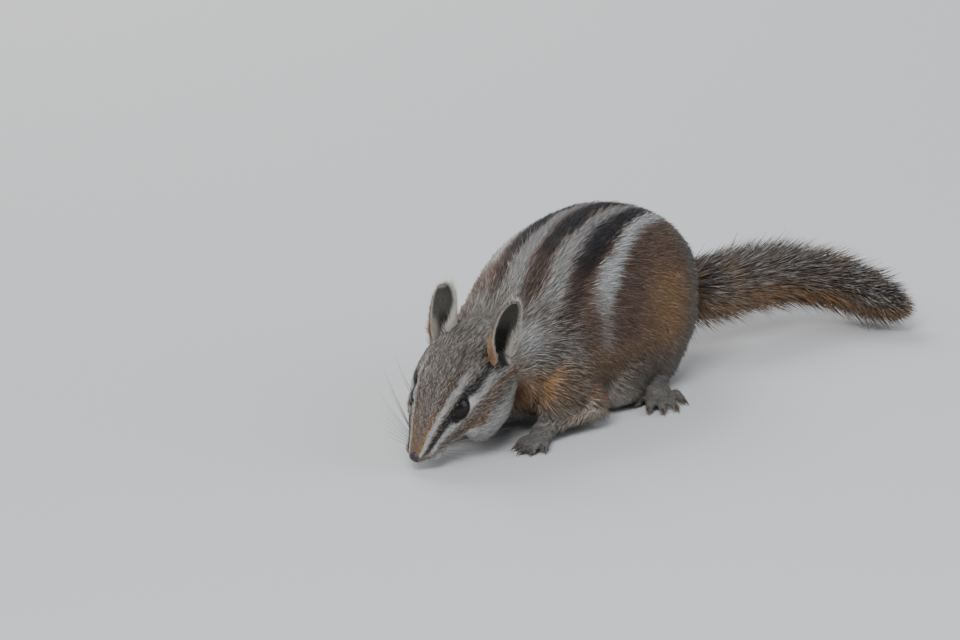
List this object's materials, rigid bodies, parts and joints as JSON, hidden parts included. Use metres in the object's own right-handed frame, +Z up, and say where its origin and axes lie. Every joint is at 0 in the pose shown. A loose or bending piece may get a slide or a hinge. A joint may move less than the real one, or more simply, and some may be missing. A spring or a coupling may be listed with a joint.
{
  "type": "chipmunk model",
  "caption": "Life-size still model of a chipmunk crouching to nose at the ground, striped back, upright ears and a bushy tail laid round behind it.",
  "frame": {"origin": "on the floor plane, under the middle of the model's bounding box", "axes": "+Z up from the floor, -X the way the animal faces, -Y its left side"},
  "size_m": [0.1462, 0.0534, 0.0434],
  "materials": {
    "head": "short grizzled fur",
    "nose": "bare damp skin",
    "eye_left": "polished black",
    "eye_right": "polished black",
    "ear_left": "thin skin with very short hair",
    "ear_right": "thin skin with very short hair",
    "neck": "short fur",
    "torso": "short fur with dark and light stripes",
    "haunch_left": "short fur",
    "haunch_right": "short fur",
    "foreleg_left": "short fur",
    "foreleg_right": "short fur",
    "hind_foot_left": "very short fur",
    "hind_foot_right": "very short fur",
    "fore_paw_left": "very short fur",
    "fore_paw_right": "very short fur",
    "tail_base": "long coarse hair",
    "tail_middle": "long coarse hair",
    "tail_tip": "long coarse hair"
  },
  "bodies": {
    "root": {"head": "head", "nose": "nose", "eye_left": "eye_left", "eye_right": "eye_right", "ear_left": "ear_left", "ear_right": "ear_right", "neck": "neck", "torso": "torso", "haunch_left": "haunch_left", "haunch_right": "haunch_right", "foreleg_left": "foreleg_left", "foreleg_right": "foreleg_right", "hind_foot_left": "hind_foot_left", "hind_foot_right": "hind_foot_right", "fore_paw_left": "fore_paw_left", "fore_paw_right": "fore_paw_right", "tail_base": "tail_base", "tail_middle": "tail_middle", "tail_tip": "tail_tip"}
  },
  "joints": []
}
